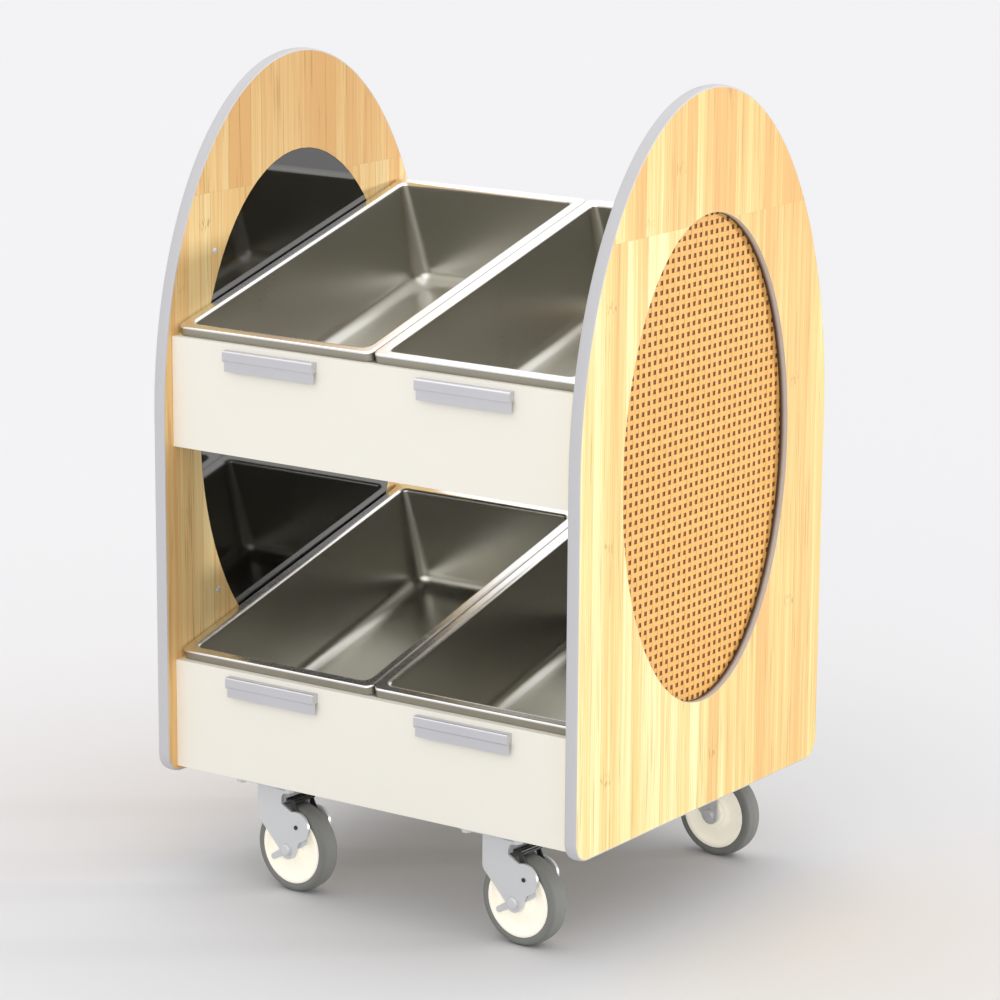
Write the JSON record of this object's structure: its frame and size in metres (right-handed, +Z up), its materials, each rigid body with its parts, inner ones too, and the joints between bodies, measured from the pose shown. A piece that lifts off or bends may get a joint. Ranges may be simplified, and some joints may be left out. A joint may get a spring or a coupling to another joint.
{
  "type": "merchandising cart",
  "caption": "Two-tier merchandising cart with arched bamboo side panels, cane ovals, tilted steel food pans, label holders and swivel casters.",
  "frame": {"origin": "on the floor, at the middle of the cart's width and depth", "axes": "+Z up, +X to the right of someone facing the front, +Y from the front to the back"},
  "size_m": [0.692, 0.611, 1.1283],
  "materials": {
    "bamboo": "clear-coated vertical-grain bamboo plywood, satin",
    "edge_band": "grey edge banding, satin",
    "cane": "woven cane webbing, natural",
    "backing": "brown backing board, matt",
    "gloss_black": "high-gloss black laminate",
    "zinc_steel": "bright zinc-plated steel",
    "cream_laminate": "cream laminate, fine matt",
    "stainless": "satin stainless steel",
    "brushed_aluminium": "satin anodised aluminium",
    "cream_nylon": "moulded cream nylon, smooth",
    "grey_rubber": "grey non-marking rubber, matt",
    "black_pedal": "black painted steel, satin"
  },
  "bodies": {
    "cart": {"left_side_panel": "bamboo", "right_side_panel": "bamboo", "left_edge_band": "edge_band", "right_edge_band": "edge_band", "left_oval_lining": "edge_band", "right_oval_lining": "edge_band", "left_cane_panel": "cane", "right_cane_panel": "cane", "left_backing_board": "backing", "right_backing_board": "backing", "left_gloss_panel": "gloss_black", "right_gloss_panel": "gloss_black", "left_panel_screws": "zinc_steel", "right_panel_screws": "zinc_steel", "upper_front_board": "cream_laminate", "lower_front_board": "cream_laminate", "upper_back_board": "cream_laminate", "lower_back_board": "cream_laminate", "bottom_deck": "cream_laminate", "angle_brackets": "zinc_steel", "upper_left_rail": "bamboo", "upper_right_rail": "bamboo", "upper_divider": "stainless", "lower_left_rail": "bamboo", "lower_right_rail": "bamboo", "lower_divider": "stainless", "upper_left_label_holder": "brushed_aluminium", "upper_right_label_holder": "brushed_aluminium", "lower_left_label_holder": "brushed_aluminium", "lower_right_label_holder": "brushed_aluminium", "front_left_caster_plate": "zinc_steel", "front_right_caster_plate": "zinc_steel", "back_left_caster_plate": "zinc_steel", "back_right_caster_plate": "zinc_steel", "caster_bolts": "zinc_steel"},
    "upper_left_pan": {"upper_left_pan": "stainless"},
    "upper_right_pan": {"upper_right_pan": "stainless"},
    "lower_left_pan": {"lower_left_pan": "stainless"},
    "lower_right_pan": {"lower_right_pan": "stainless"},
    "front_left_swivel": {"front_left_fork": "zinc_steel", "front_left_axle": "zinc_steel", "front_left_brake_link": "zinc_steel"},
    "front_left_wheel": {"front_left_hub": "cream_nylon", "front_left_tyre": "grey_rubber"},
    "front_left_brake": {"front_left_brake_pedal": "black_pedal"},
    "front_right_swivel": {"front_right_fork": "zinc_steel", "front_right_axle": "zinc_steel", "front_right_brake_link": "zinc_steel"},
    "front_right_wheel": {"front_right_hub": "cream_nylon", "front_right_tyre": "grey_rubber"},
    "front_right_brake": {"front_right_brake_pedal": "black_pedal"},
    "back_left_swivel": {"back_left_fork": "zinc_steel", "back_left_axle": "zinc_steel"},
    "back_left_wheel": {"back_left_hub": "cream_nylon", "back_left_tyre": "grey_rubber"},
    "back_right_swivel": {"back_right_fork": "zinc_steel", "back_right_axle": "zinc_steel"},
    "back_right_wheel": {"back_right_hub": "cream_nylon", "back_right_tyre": "grey_rubber"}
  },
  "joints": [
    {"name": "upper_left_pan_lift", "type": "slide", "parent": "cart", "child": "upper_left_pan", "axis": [0, -0.2672, 0.9636], "range_m": [0, 0.165]},
    {"name": "upper_right_pan_lift", "type": "slide", "parent": "cart", "child": "upper_right_pan", "axis": [0, -0.2672, 0.9636], "range_m": [0, 0.165]},
    {"name": "lower_left_pan_lift", "type": "slide", "parent": "cart", "child": "lower_left_pan", "axis": [0, -0.2672, 0.9636], "range_m": [0, 0.165]},
    {"name": "lower_right_pan_lift", "type": "slide", "parent": "cart", "child": "lower_right_pan", "axis": [0, -0.2672, 0.9636], "range_m": [0, 0.165]},
    {"name": "front_left_swivel_turn", "type": "hinge", "parent": "cart", "child": "front_left_swivel", "pos_m": [-0.189, -0.224, 0.152], "axis": [0, 0, 1], "continuous": true},
    {"name": "front_left_wheel_spin", "type": "hinge", "parent": "front_left_swivel", "child": "front_left_wheel", "pos_m": [-0.16406, -0.22574, 0.0625], "axis": [0.0698, 0.9976, 0], "continuous": true},
    {"name": "front_left_brake_press", "type": "hinge", "parent": "front_left_swivel", "child": "front_left_brake", "pos_m": [-0.1471, -0.22693, 0.0975], "axis": [-0.0698, -0.9976, 0], "range_deg": [0, 5.5]},
    {"name": "front_right_swivel_turn", "type": "hinge", "parent": "cart", "child": "front_right_swivel", "pos_m": [0.189, -0.224, 0.152], "axis": [0, 0, 1], "continuous": true},
    {"name": "front_right_wheel_spin", "type": "hinge", "parent": "front_right_swivel", "child": "front_right_wheel", "pos_m": [0.21394, -0.22574, 0.0625], "axis": [0.0698, 0.9976, 0], "continuous": true},
    {"name": "front_right_brake_press", "type": "hinge", "parent": "front_right_swivel", "child": "front_right_brake", "pos_m": [0.2309, -0.22693, 0.0975], "axis": [-0.0698, -0.9976, 0], "range_deg": [0, 5.5]},
    {"name": "back_left_swivel_turn", "type": "hinge", "parent": "cart", "child": "back_left_swivel", "pos_m": [-0.198, 0.251, 0.152], "axis": [0, 0, 1], "continuous": true},
    {"name": "back_left_wheel_spin", "type": "hinge", "parent": "back_left_swivel", "child": "back_left_wheel", "pos_m": [-0.17306, 0.24926, 0.0625], "axis": [0.0698, 0.9976, 0], "continuous": true},
    {"name": "back_right_swivel_turn", "type": "hinge", "parent": "cart", "child": "back_right_swivel", "pos_m": [0.198, 0.251, 0.152], "axis": [0, 0, 1], "continuous": true},
    {"name": "back_right_wheel_spin", "type": "hinge", "parent": "back_right_swivel", "child": "back_right_wheel", "pos_m": [0.22294, 0.24926, 0.0625], "axis": [0.0698, 0.9976, 0], "continuous": true}
  ]
}
